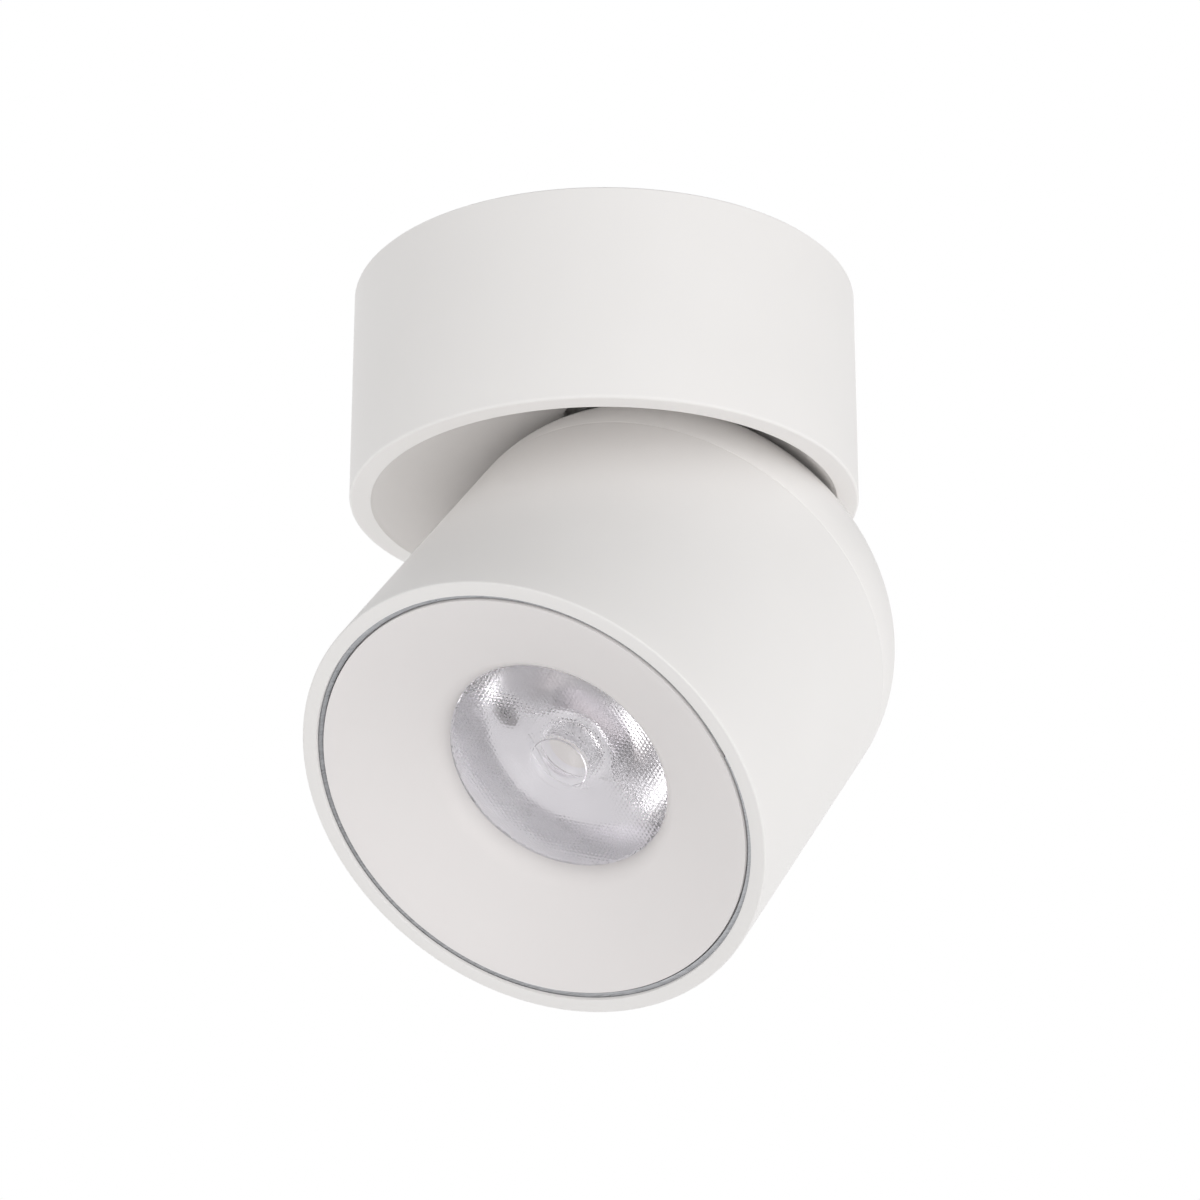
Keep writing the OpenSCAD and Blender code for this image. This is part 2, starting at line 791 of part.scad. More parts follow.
module sink_lugs() {
  for (side = [-1, 1])
    translate([side * (lug_in + lug_t / 2) - lug_t / 2, 0, 0])
      rotate([90, 0, 90])
        linear_extrude(height = lug_t)
          union() {
            circle(r = lug_r);
            translate([-lug_r, sink_top_z - eps]) square([2 * lug_r, -sink_top_z]);
          }
}

// Die cast heat sink: round base, straight fins and the two lugs of the tilt pivot
module heat_sink() {
  color("silver")
    in_head()
      difference() {
        union() {
          translate([0, 0, sink_front_z]) cylinder(r = sink_r, h = sink_base_t);
          sink_fins();
          sink_lugs();
        }
        translate([-lug_in, 0, 0])
          rotate([0, 90, 0]) cylinder(r = arm_end_r + tip_gap, h = 2 * lug_in);
        translate([-lug_out - 1, 0, 0])
          rotate([0, 90, 0]) cylinder(d = pivot_d + 2 * seat_gap, h = 2 * lug_out + 2);
        at_cap_screws()
          translate([0, 0, sink_front_z - eps]) cylinder(d = m3_hole_d, h = sink_base_t + 2 * eps);
        at_cob_screws()
          translate([0, 0, sink_front_z - eps]) cylinder(d = m2_core_d, h = sink_base_t - 0.5);
        at_lens_screws()
          translate([0, 0, sink_front_z - eps]) cylinder(d = m3_core_d, h = sink_base_t - 0.5);
        translate([0, lead_hole_y, sink_front_z - eps])
          cylinder(r = lead_hole_r, h = sink_base_t + 2 * eps);
      }
}

// Silicone bush for the lamp's leads through the heat sink's base
module lead_grommet() {
  lip = lead_lip;
  color("dimgray")
    in_head()
      translate([0, lead_hole_y, 0])
        difference() {
          union() {
            translate([0, 0, sink_front_z - lip])
              cylinder(r = lead_hole_r - seat_gap, h = sink_base_t + lip);
            translate([0, 0, sink_front_z - lip]) cylinder(r = lead_hole_r + lip, h = lip);
            translate([0, 0, sink_top_z]) cylinder(r = lead_hole_r + lip, h = lip);
          }
          translate([0, 0, sink_front_z - lip - eps])
            cylinder(r = lead_hole_r - 1, h = sink_base_t + 2 * lip + 2 * eps);
        }
}

module thermal_pad() {
  color("lightgray")
    in_head()
      translate([-cob_w / 2, -cob_w / 2, pad_z]) cube([cob_w, cob_w, pad_t]);
}

module cob_board() {
  color("whitesmoke")
    in_head()
      translate([-cob_w / 2, -cob_w / 2, board_z]) cube([cob_w, cob_w, board_t]);
}

// Round phosphor window that gives the light
module cob_emitter() {
  color("gold")
    in_head()
      translate([0, 0, board_z - emitter_t]) cylinder(d = emitter_d, h = emitter_t);
}

// Plastic ring that clamps the light module's corners to the heat sink
module cob_holder() {
  window_r = emitter_d / 2 + 0.6;
  color("white")
    in_head()
      difference() {
        translate([0, 0, sink_front_z - cob_holder_t])
          cylinder(d = cob_holder_d, h = cob_holder_t);
        translate([0, 0, sink_front_z - cob_holder_t - eps])
          cylinder(r = window_r, h = cob_holder_t + 2 * eps);
        translate([-cob_w / 2 - seat_gap, -cob_w / 2 - seat_gap, board_z])
          cube([cob_w + 2 * seat_gap, cob_w + 2 * seat_gap, cob_holder_t]);
        translate([0, 0, sink_front_z - cob_holder_t - eps])
          cylinder(r = lens_back_r + 1, h = cob_holder_t + board_z - sink_front_z + eps);
        at_cob_screws() translate([0, 0, sink_front_z - cob_holder_t - eps])
          cylinder(d = m2_core_d, h = cob_holder_t + 2 * eps);
      }
}

module cob_screws() {
  color("silver")
    in_head()
      at_cob_screws()
        translate([0, 0, sink_front_z - cob_holder_t])
          screw_up(m2_d, cob_holder_t + sink_base_t - 1, m2_head_d, m2_head_h);
}

// Side of the collimator: a curve that opens from the light module to the flange
function lens_side(n) =
  [for (i = [0:n])
    let (t = i / n, z = lens_back_z + (lens_front_z + lens_flange_t - lens_back_z) * t)
    [lens_back_r + (lens_body_r - lens_back_r) * pow(t, lens_flare), z]];

// Convex end of the well over the light module, from its middle to its edge
function lens_well_end(n) =
  let (r = (pow(lens_well_top_r, 2) + pow(lens_well_bulge, 2)) / (2 * lens_well_bulge),
       half = asin(lens_well_top_r / r), z = lens_back_z - lens_well_h + lens_well_bulge - r)
  [for (i = [0:n]) [r * sin(half * i / n), z + r * cos(half * i / n)]];

// Collimator lens: flange, flared body, a well over the light module and a smooth front disc
module lens() {
  disc_z = lens_front_z - lens_disc_lift;
  color("lavender")
    in_head()
      rotate_extrude()
        polygon(concat(
          lens_well_end(6),
          [[lens_well_r, lens_back_z]],
          lens_side(10),
          [[lens_r, lens_front_z + lens_flange_t], [lens_r, lens_front_z],
           [lens_disc_d / 2, lens_front_z], [lens_disc_d / 2, disc_z], [0, disc_z]]
        ));
}

// Plastic cup that carries the lens over the light module, with two screwed ears
module lens_holder() {
  ear_r = 3.8;
  ear_low = 2.5;
  ear_reach = lens_screw_r - holder_in_r - holder_wall / 3;
  seat_z = lens_front_z + lens_flange_t;
  color("white")
    in_head()
      difference() {
        union() {
          rotate_extrude()
            difference() {
              translate([0, lens_front_z]) square([holder_out_r, sink_front_z - lens_front_z]);
              translate([-1, lens_front_z - 1]) square([holder_in_r + 1, lens_flange_t + 1]);
              translate([-1, seat_z - eps]) square([lens_body_r + 1.4, holder_wall + 2 * eps]);
              translate([-1, seat_z + holder_wall]) square([holder_in_r + 1, tube_len]);
            }
          at_lens_screws()
            translate([0, 0, sink_front_z - ear_low])
              linear_extrude(height = ear_low) {
                circle(r = ear_r);
                translate([-ear_reach, -ear_r]) square([ear_reach, 2 * ear_r]);
              }
        }
        at_lens_screws() translate([0, 0, sink_front_z - ear_low - eps])
          cylinder(d = m3_hole_d, h = ear_low + 2 * eps);
      }
}

module lens_screws() {
  ear_low = 2.5;
  color("silver")
    in_head()
      at_lens_screws()
        translate([0, 0, sink_front_z - ear_low])
          screw_up(m3_d, ear_low + sink_base_t - 1, m3_head_d, m3_head_h);
}

// Baffle: shallow cone with a lip rolled round the lens, skirt and locating flange
module baffle() {
  turn = cone_turn(lip_round);
  skirt_in_r = baffle_r - baffle_t;
  skirt_join_z = baffle_front_z - baffle_t / sin(turn) + baffle_t / tan(turn);
  throat_z = lens_front_z - seat_gap;
  flange_r = bore_r - 0.15;
  flange_z = ring_back_z + seat_gap;
  color("white")
    in_head()
      rotate_extrude()
        polygon(concat(
          [[baffle_r, baffle_front_z]],
          arc(lip_x, lip_z, lip_round, turn, -180, 12),
          [[aperture_r, throat_z], [aperture_r + baffle_t, throat_z]],
          arc(lip_x, lip_z, lip_round - baffle_t, -180, turn, 12),
          [[skirt_in_r, skirt_join_z], [skirt_in_r, baffle_foot_z], [flange_r, baffle_foot_z],
           [flange_r, flange_z], [baffle_r, flange_z]]
        ));
}

// Grey snap ring in the gap between the rim and the baffle, split at one side
module snap_ring() {
  split = 1.5;
  color("darkgray")
    in_head()
      difference() {
        ring(bore_r + ring_groove, ring_in_r, ring_front_z, ring_t);
        translate([0, -split / 2, ring_front_z - eps])
          cube([head_r, split, ring_t + 2 * eps]);
      }
}

// Shoulder bolt through the lugs, the friction washers and the arm
module pivot_bolt() {
  head_h = 3.5;
  socket = 2;
  color("gray")
    in_head()
      rotate([0, 90, 0])
        difference() {
          union() {
            translate([0, 0, -lug_out]) cylinder(d = pivot_d, h = 2 * lug_out);
            translate([0, 0, lug_out]) cylinder(d = pivot_head_d, h = head_h);
            translate([0, 0, -lug_out - pivot_nut_h - 0.8])
              cylinder(d = pivot_d - 1, h = pivot_nut_h + 0.8 + eps);
          }
          translate([0, 0, lug_out + head_h - socket])
            cylinder(d = pivot_head_d / 2, h = socket + eps, $fn = 6);
        }
}

module pivot_nut() {
  color("silver")
    in_head()
      rotate([0, -90, 0])
        difference() {
          translate([0, 0, lug_out])
            cylinder(d = pivot_nut_af / cos(30), h = pivot_nut_h, $fn = 6);
          translate([0, 0, lug_out - eps])
            cylinder(d = pivot_d - 1 + 2 * run_gap, h = pivot_nut_h + 2 * eps);
        }
}

// Two fibre washers that keep the tilt joint stiff
module pivot_washers() {
  color("ivory")
    in_head()
      for (side = [-1, 1])
        translate([side * (lug_in - washer_t / 2), 0, 0])
          rotate([0, 90, 0])
            difference() {
              cylinder(r = arm_end_r + tip_gap / 2, h = washer_t, center = true);
              cylinder(d = pivot_d + 2 * seat_gap, h = washer_t + 2 * eps, center = true);
            }
}

ceiling_plate();
canopy_housing();
canopy_screws();
cable_grommet();
earth_screw();
terminal_block();
terminal_screw();
led_driver();
driver_screws();
carrier_plate();
carrier_screws();
swivel_hub();
swivel_arm();
arm_pins();
friction_disc();
stop_washer();
disc_spring();
spindle_nut();
head_housing();
rear_cap();
cap_screws();
heat_sink();
lead_grommet();
thermal_pad();
cob_board();
cob_emitter();
cob_holder();
cob_screws();
lens();
lens_holder();
lens_screws();
baffle();
snap_ring();
pivot_bolt();
pivot_nut();
pivot_washers();
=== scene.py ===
"""Visual model of the adjustable ceiling spotlight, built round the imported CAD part.

Lengths are written in millimetres and scaled to metres where a mesh is made. The head's
pieces are drawn in the head's own frame: the tilt pivot is the origin, the front looks to -Z.
"""
import json
import math

import bpy
import bmesh
import numpy as np
from mathutils import Euler, Matrix, Vector
from mathutils.geometry import delaunay_2d_cdt


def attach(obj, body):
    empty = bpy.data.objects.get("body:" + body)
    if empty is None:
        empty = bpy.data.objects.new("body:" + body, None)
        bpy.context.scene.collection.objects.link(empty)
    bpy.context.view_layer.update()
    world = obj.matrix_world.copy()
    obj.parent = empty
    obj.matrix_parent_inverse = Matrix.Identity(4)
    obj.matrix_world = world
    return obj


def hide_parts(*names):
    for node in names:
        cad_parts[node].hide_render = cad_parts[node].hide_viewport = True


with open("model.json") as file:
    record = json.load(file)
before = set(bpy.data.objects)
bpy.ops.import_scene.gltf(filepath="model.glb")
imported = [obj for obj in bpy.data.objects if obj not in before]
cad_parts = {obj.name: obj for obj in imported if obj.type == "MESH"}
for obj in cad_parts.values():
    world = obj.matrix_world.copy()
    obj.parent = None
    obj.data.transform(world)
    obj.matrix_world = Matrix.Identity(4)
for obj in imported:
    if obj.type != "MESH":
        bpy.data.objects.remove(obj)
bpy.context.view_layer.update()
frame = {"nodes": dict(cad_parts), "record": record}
scene = bpy.context.scene
scene.view_settings.view_transform = "Standard"
MM = 0.001

# Canopy
CANOPY_R, CANOPY_H, WALL, MOUTH_R = 50.0, 44.0, 3.0, 45.75
RIM_ROUND, EDGE = 0.6, 0.3
PIVOT_DROP = 42.0
PIVOT_Z = -CANOPY_H - PIVOT_DROP
BOWL_R = math.hypot(MOUTH_R, PIVOT_DROP)
WEB_T, HUB_T, HUB_MARGIN = 2.2, 3.3, 0.2
NECK_R, NECK_GAP = 7.7, 0.3
FLANGE_R, FLANGE_T, FLANGE_GAP, FLANGE_SIDE_GAP, DISC_T = 12.0, 2.5, 0.5, 1.3, 0.5
CARRIER_POST_R, CARRIER_HOLE_R, CARRIER_TURNS = 2.6, 1.3, (90, 210, 330)
CARRIER_SCREW_R = FLANGE_R + FLANGE_SIDE_GAP + CARRIER_POST_R
DRIVER_POST_R, DRIVER_POST_X, DRIVER_POST_Y = 2.9, 25.0, 29.7
DRIVER_NEAR_Y, DRIVER_GAP = 20.7, 0.5
DRIVER_HOLE_DEPTH, M3_HOLE_R = 8.0, 1.55
SIDE_SCREW_TURNS, SIDE_SCREW_Z, SIDE_SCREW_R, SIDE_SCREW_HOLE_R = (38.0, 218.0), -7.5, 1.5, 1.7
SOCKET_R, SOCKET_DEPTH = 0.9, 1.4

# Head
TILT, TILT_MAX = 41.5, 45.0
ARM_HALF, ARM_SLOT_W = 4.0, 6.4
HEAD_R, BORE_R = 47.0, 44.05
FRONT_Z, SEAM_Z, REAR_Z = -35.3, 28.0, 52.3
CAP_ROUND, CAP_WALL = 21.5, 2.5
ROUND_Z = REAR_Z - CAP_ROUND
CAP_SCREW_R, CAP_PILLAR_R, CAP_TURNS = 36.5, 3.5, (0, 120, 240)
CAP_HOLE_TOP, CAP_SPIGOT_H, CAP_SPIGOT_WALL = 11.5, 5.0, 2.5
SINK_Z, SINK_BASE_T, RUN_GAP, LEDGE, LEDGE_T = -8.5, 4.0, 0.05, 3.0, 2.5
APERTURE_R, APERTURE_Z, LIP_R = 22.55, -21.7, 5.0
LENS_Z, LENS_BACK_Z = APERTURE_Z + 0.3, SINK_Z - 2.3
LENS_R, LENS_BODY_R, LENS_DISC_R = APERTURE_R + 1.35, APERTURE_R - 0.15, 5.7
LENS_FOOT_R, LENS_FLANGE_T, WELL_R, WELL_TOP_R, WELL_BULGE = 8.0, 1.5, 6.2, 5.2, 1.2
BEAD_PITCH, BEAD_H, BEAD_TURN = 0.86, 0.16, 24.0
BAFFLE_R, BAFFLE_T, BAFFLE_FOOT_Z = 42.9, 1.5, FRONT_Z + 8.0
RING_Z, RING_SEAT = FRONT_Z + 1.0, 1.3

HEAD_FRAME = (Matrix.Translation((0, 0, PIVOT_Z))
              @ Matrix.Rotation(math.radians(-TILT), 4, "X"))
WORLD_FRAME = Matrix.Identity(4)

# Sides as the camera sees them, by azimuth in degrees. Lights: azimuth, height, strength, sharpness.
RIGHT, BACK, LEFT, FRONT = 36.4, 126.4, 216.4, 306.4
SOFT_LIGHTS = [(RIGHT, 0, 0.4, 2), (BACK, 0, 0.39, 2), (LEFT, 0, 0.51, 2), (FRONT, 0, 0.86, 2),
               (0, -90, 0.4, 1), (RIGHT, -27, 0.76, 4), (FRONT + 45, -27, 0.63, 4),
               (FRONT, -27, 0.5, 4), (BACK, -27, 0.95, 4), (BACK + 45, -27, 0.88, 4)]
LENS_LIGHTS = [(250, -8, 3.0, 24), (LEFT, -30, 3.0, 40), (FRONT + 25, -20, 3.0, 40),
               (180, -12, 2.4, 30), (RIGHT, -25, 3.0, 40), (352, -44, 7.0, 26)]


def to_metres(matrix):
    return Matrix.Scale(MM, 4) @ matrix


# Camera and lights

def add_camera():
    """Camera at the photograph's view: its place round the object, and where it looks."""
    data = bpy.data.cameras.new("camera")
    data.sensor_width = 36.0
    data.lens = 115.912
    data.clip_start = 0.05
    cam = bpy.data.objects.new("camera", data)
    azimuth, distance, height = math.radians(RIGHT), 0.695645, -0.34927
    look_up, look_aside, roll = 0.3892316, 0.0010968, 0.0013095
    cam.location = (distance * math.sin(azimuth), -distance * math.cos(azimuth), height)
    turn = Euler((math.pi / 2 + look_up, 0, azimuth + look_aside))
    cam.matrix_world = (Matrix.Translation(cam.location) @ turn.to_matrix().to_4x4()
                        @ Matrix.Rotation(roll, 4, "Z"))
    scene.collection.objects.link(cam)
    scene.camera = cam


def add_area(name, spot, target, size, power):
    """Rectangular soft lamp that faces a target."""
    data = bpy.data.lights.new(name, "AREA")
    data.shape = "RECTANGLE"
    data.size, data.size_y = size
    data.energy = power
    lamp = bpy.data.objects.new(name, data)
    lamp.location = spot
    way = Vector(target) - Vector(spot)
    lamp.rotation_euler = way.to_track_quat("-Z", "Y").to_euler()
    scene.collection.objects.link(lamp)


def add_world(level, lobes, seen_level, boxes):
    """Even soft light with lobes of azimuth, height, strength and sharpness. The camera and
    mirrored rays see plain white, rays that leave the lens see narrower lobes as light boxes."""
    world = bpy.data.worlds.new("studio")
    scene.world = world
    world.use_nodes = True
    tree = world.node_tree
    tree.nodes.clear()
    link = tree.links.new

    def sums(operation, first, second):
        node = tree.nodes.new("ShaderNodeMath")
        node.operation = operation
        for socket, value in zip(node.inputs, (first, second)):
            if isinstance(value, float):
                socket.default_value = value
            else:
                link(value, socket)
        return node.outputs["Value"]

    def lit(base, beams):
        total = base
        for azimuth, height, strength, sharpness in beams:
            side = tree.nodes.new("ShaderNodeVectorMath")
            side.operation = "DOT_PRODUCT"
            turn, rise = math.radians(azimuth), math.radians(height)
            side.inputs[1].default_value = (math.cos(rise) * math.cos(turn),
                                            math.cos(rise) * math.sin(turn), math.sin(rise))
            link(coord, side.inputs[0])
            beam = sums("POWER", sums("MAXIMUM", side.outputs["Value"], 0.0), float(sharpness))
            total = sums("ADD", sums("MULTIPLY", beam, strength), total)
        light = tree.nodes.new("ShaderNodeBackground")
        link(total, light.inputs["Strength"])
        return light.outputs[0]

    def mixed(share, first, second):
        node = tree.nodes.new("ShaderNodeMixShader")
        link(share, node.inputs["Fac"])
        link(first, node.inputs[1])
        link(second, node.inputs[2])
        return node.outputs[0]

    coord = tree.nodes.new("ShaderNodeTexCoord").outputs["Generated"]
    white = tree.nodes.new("ShaderNodeBackground")
    white.inputs["Color"].default_value = (1, 1, 1, 1)
    path = tree.nodes.new("ShaderNodeLightPath")
    seen = sums("MAXIMUM", path.outputs["Is Camera Ray"], path.outputs["Is Glossy Ray"])
    outside = mixed(seen, lit(level, lobes), white.outputs[0])
    shown = mixed(path.outputs["Is Transmission Ray"], outside, lit(seen_level, boxes))
    link(shown, tree.nodes.new("ShaderNodeOutputWorld").inputs["Surface"])


# Materials

NOISE_SPAN, PATCH_SCALE = (0.3, 0.7), 40.0


def new_material(name):
    """Material with its node tree, its shader and the coordinates that its noise follows."""
    mat = bpy.data.materials.new(name)
    mat.use_nodes = True
    tree = mat.node_tree
    shader = tree.nodes["Principled BSDF"]
    coord = tree.nodes.new("ShaderNodeTexCoord")
    return mat, tree, shader, coord.outputs["Object"]


def add_noise(tree, coord, scale, detail=3.0, rough=0.5):
    node = tree.nodes.new("ShaderNodeTexNoise")
    node.inputs["Scale"].default_value = scale
    node.inputs["Detail"].default_value = detail
    node.inputs["Roughness"].default_value = rough
    tree.links.new(coord, node.inputs["Vector"])
    return node.outputs["Fac"]


def add_ramp(tree, value, low, high):
    node = tree.nodes.new("ShaderNodeValToRGB")
    for stop, position, colour in zip(node.color_ramp.elements, NOISE_SPAN, (low, high)):
        stop.position = position
        stop.color = (*colour, 1)
    tree.links.new(value, node.inputs["Fac"])
    return node.outputs["Color"]


def add_range(tree, value, low, high):
    node = tree.nodes.new("ShaderNodeMapRange")
    node.inputs["From Min"].default_value, node.inputs["From Max"].default_value = NOISE_SPAN
    node.inputs["To Min"].default_value = low
    node.inputs["To Max"].default_value = high
    tree.links.new(value, node.inputs["Value"])
    return node.outputs["Result"]


def add_bump(tree, value, shader, distance):
    node = tree.nodes.new("ShaderNodeBump")
    node.inputs["Strength"].default_value = 1.0
    node.inputs["Distance"].default_value = distance
    tree.links.new(value, node.inputs["Height"])
    tree.links.new(node.outputs["Normal"], shader.inputs["Normal"])


def coated(name, low, high, rough, grain_scale, grain_depth):
    """Paint, plastic, rubber or fibre: a slow change of tone and a fine grain."""
    mat, tree, shader, coord = new_material(name)
    patch = add_noise(tree, coord, PATCH_SCALE)
    grain = add_noise(tree, coord, grain_scale, 2.0)
    tree.links.new(add_ramp(tree, patch, low, high), shader.inputs["Base Color"])
    tree.links.new(add_range(tree, grain, *rough), shader.inputs["Roughness"])
    add_bump(tree, grain, shader, grain_depth)
    return mat


def brushed(name, low, high, rough, stretch, scale, depth):
    """Turned or drawn metal: noise stretched along the tool's way."""
    mat, tree, shader, coord = new_material(name)
    shape = tree.nodes.new("ShaderNodeMapping")
    shape.inputs["Scale"].default_value = stretch
    tree.links.new(coord, shape.inputs["Vector"])
    lines = add_noise(tree, shape.outputs["Vector"], scale, 4.0, 0.6)
    tree.links.new(add_ramp(tree, lines, low, high), shader.inputs["Base Color"])
    tree.links.new(add_range(tree, lines, *rough), shader.inputs["Roughness"])
    add_bump(tree, lines, shader, depth)
    shader.inputs["Metallic"].default_value = 1.0
    return mat


def grey(value):
    return (value, value, value)


def clear_plastic(name):
    """Clear moulding; it lets light straight through to what lies behind it, so that isn't dark."""
    mat, tree, shader, coord = new_material(name)
    shader.inputs["IOR"].default_value = 1.49
    shader.inputs["Transmission Weight"].default_value = 0.96
    haze = add_noise(tree, coord, 60.0)
    tree.links.new(add_ramp(tree, haze, (0.965, 0.935, 0.972), (0.99, 0.968, 0.994)),
                   shader.inputs["Base Color"])
    tree.links.new(add_range(tree, haze, 0.0, 0.02), shader.inputs["Roughness"])
    path = tree.nodes.new("ShaderNodeLightPath")
    inner = tree.nodes.new("ShaderNodeMath")
    inner.operation = "MAXIMUM"
    mix = tree.nodes.new("ShaderNodeMixShader")
    clear = tree.nodes.new("ShaderNodeBsdfTransparent")
    tree.links.new(path.outputs["Is Shadow Ray"], inner.inputs[0])
    tree.links.new(path.outputs["Is Diffuse Ray"], inner.inputs[1])
    tree.links.new(inner.outputs[0], mix.inputs["Fac"])
    tree.links.new(shader.outputs["BSDF"], mix.inputs[1])
    tree.links.new(clear.outputs["BSDF"], mix.inputs[2])
    tree.links.new(mix.outputs[0], tree.nodes["Material Output"].inputs["Surface"])
    return mat


def phosphor(name):
    """Pale grainy layer over the light chips."""
    mat, tree, shader, coord = new_material(name)
    grain = add_noise(tree, coord, 3000.0, 2.0)
    tree.links.new(add_ramp(tree, grain, (0.83, 0.81, 0.77), (0.89, 0.87, 0.83)),
                   shader.inputs["Base Color"])
    tree.links.new(add_range(tree, grain, 0.3, 0.45), shader.inputs["Roughness"])
    add_bump(tree, grain, shader, 0.00002)
    return mat


SLOTS = {
    "white_powder_coat": coated("white_powder_coat", (0.893, 0.874, 0.860), (0.907, 0.888, 0.874),
                                (0.38, 0.5), 2600.0, 0.00001),
    "white_baffle": coated("white_baffle", (0.856, 0.824, 0.816), (0.868, 0.836, 0.828),
                           (0.5, 0.6), 3400.0, 0.000006),
    "zinc_steel": brushed("zinc_steel", (0.5, 0.5, 0.49), (0.66, 0.66, 0.65),
                          (0.25, 0.4), (1, 1, 6), 300.0, 0.000004),
    "spring_steel": brushed("spring_steel", (0.42, 0.43, 0.45), (0.60, 0.61, 0.63),
                            (0.25, 0.4), (1, 1, 8), 400.0, 0.000003),
    "bright_aluminium": brushed("bright_aluminium", (0.72, 0.72, 0.73), (0.86, 0.86, 0.87),
                                (0.22, 0.38), (1, 6, 1), 260.0, 0.000004),
    "brass": brushed("brass", (0.62, 0.44, 0.18), (0.78, 0.58, 0.26),
                     (0.22, 0.34), (1, 1, 5), 300.0, 0.000003),
    "black_rubber": coated("black_rubber", grey(0.018), grey(0.03),
                           (0.6, 0.75), 1800.0, 0.00001),
    "white_plastic": coated("white_plastic", (0.88, 0.88, 0.89), (0.92, 0.92, 0.93),
                            (0.35, 0.45), 1500.0, 0.000004),
    "driver_plastic": coated("driver_plastic", (0.66, 0.66, 0.65), (0.72, 0.72, 0.71),
                             (0.45, 0.55), 1200.0, 0.00001),
    "fibre": coated("fibre", (0.62, 0.55, 0.42), (0.70, 0.62, 0.48),
                    (0.6, 0.75), 2400.0, 0.00001),
    "thermal_pad": coated("thermal_pad", (0.34, 0.36, 0.38), (0.42, 0.44, 0.46),
                          (0.55, 0.7), 1500.0, 0.000006),
    "ceramic_board": coated("ceramic_board", (0.88, 0.88, 0.89), (0.92, 0.92, 0.93),
                            (0.3, 0.4), 2000.0, 0.000003),
    "phosphor": phosphor("phosphor"),
    "clear_lens": clear_plastic("clear_lens"),
}


# Mesh tools

SHARP_EDGE, SEGMENTS, TINY = 30.0, 256, 1e-6


def arc(x, z, r, start, end, steps):
    """Points of a circular arc in the plane of a profile; angles in degrees."""
    turn = np.radians(np.linspace(start, end, steps + 1))
    return [(x + r * math.cos(a), z + r * math.sin(a)) for a in turn]


def soften(points, r, steps):
    """Rounds the corners of a closed profile."""
    out = []
    count = len(points)
    for i, p in enumerate(points):
        a, p, b = (Vector(q) for q in (points[i - 1], p, points[(i + 1) % count]))
        to_a, to_b = (a - p), (b - p)
        half = to_a.angle(to_b) / 2
        reach = min(r / math.tan(half), 0.45 * to_a.length, 0.45 * to_b.length)
        radius = reach * math.tan(half)
        middle = p + (to_a.normalized() + to_b.normalized()).normalized() * (radius / math.sin(half))
        first, last = p + to_a.normalized() * reach, p + to_b.normalized() * reach
        start = math.atan2(*(first - middle).yx)
        sweep = math.atan2(*(last - middle).yx) - start
        sweep = (sweep + math.pi) % (2 * math.pi) - math.pi
        for k in range(steps + 1):
            t = start + sweep * k / steps
            out.append((middle.x + radius * math.cos(t), middle.y + radius * math.sin(t)))
    return out


def lathe(profile, segments):
    """Closed solid that a closed profile of (radius, height) sweeps about the Z axis."""
    mesh = bmesh.new()
    turns = [2 * math.pi * i / segments for i in range(segments)]
    rings = []
    for r, z in profile:
        if r < TINY:
            rings.append([mesh.verts.new((0, 0, z))])
        else:
            rings.append([mesh.verts.new((r * math.cos(a), r * math.sin(a), z)) for a in turns])
    for i, low in enumerate(rings):
        high = rings[(i + 1) % len(rings)]
        if len(low) == 1 and len(high) == 1:
            continue
        for k in range(segments):
            n = (k + 1) % segments
            corners = [low[k % len(low)], low[n % len(low)], high[n % len(high)], high[k % len(high)]]
            face = []
            for v in corners:
                if v not in face:
                    face.append(v)
            mesh.faces.new(face)
    bmesh.ops.recalc_face_normals(mesh, faces=mesh.faces)
    return mesh


def prism(outline, low, high, matrix=None):
    """Closed solid over a flat outline of (x, y) points, from one height to another."""
    mesh = bmesh.new()
    bottom = [mesh.verts.new((x, y, low)) for x, y in outline]
    top = [mesh.verts.new((x, y, high)) for x, y in outline]
    mesh.faces.new(bottom[::-1])
    mesh.faces.new(top)
    for i in range(len(outline)):
        n = (i + 1) % len(outline)
        mesh.faces.new((bottom[i], bottom[n], top[n], top[i]))
    bmesh.ops.recalc_face_normals(mesh, faces=mesh.faces)
    if matrix:
        bmesh.ops.transform(mesh, matrix=matrix, verts=mesh.verts)
    return mesh


def round_outline(r, segments=48):
    """Points of a circle, as an outline for a prism."""
    return [(r * math.cos(2 * math.pi * i / segments), r * math.sin(2 * math.pi * i / segments))
            for i in range(segments)]


def as_object(name, mesh):
    """Scene object that holds a finished mesh."""
    data = bpy.data.meshes.new(name)
    mesh.to_mesh(data)
    mesh.free()
    obj = bpy.data.objects.new(name, data)
    scene.collection.objects.link(obj)
    return obj


def carve(obj, mesh, operation="DIFFERENCE"):
    """Cuts a bmesh solid out of an object, or joins it on, and keeps the result as its mesh."""
    tool = as_object("tool", mesh)
    step = obj.modifiers.new("carve", "BOOLEAN")
    step.operation = operation
    step.solver = "EXACT"
    step.object = tool
    bpy.context.view_layer.update()
    made = bpy.data.meshes.new_from_object(obj.evaluated_get(bpy.context.evaluated_depsgraph_get()))
    obj.modifiers.clear()
    old = obj.data
    obj.data = made
    bpy.data.meshes.remove(old)
    old = tool.data
    bpy.data.objects.remove(tool)
    bpy.data.meshes.remove(old)


def place(obj, body, slot, matrix, replaced):
    """Puts a piece that was drawn in millimetres where it belongs, gives it its slot's material, hangs it
    under its body and hides the CAD nodes that it replaces.
    """
    obj.data.name = obj.name
    obj.data.transform(to_metres(matrix))
    obj.data.shade_smooth()
    obj.data.set_sharp_from_angle(angle=math.radians(SHARP_EDGE))
    obj.data.materials.clear()
    obj.data.materials.append(SLOTS[slot])
    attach(obj, body)
    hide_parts(*replaced)


SIDEWAYS = Matrix.Rotation(math.pi / 2, 4, "Y")


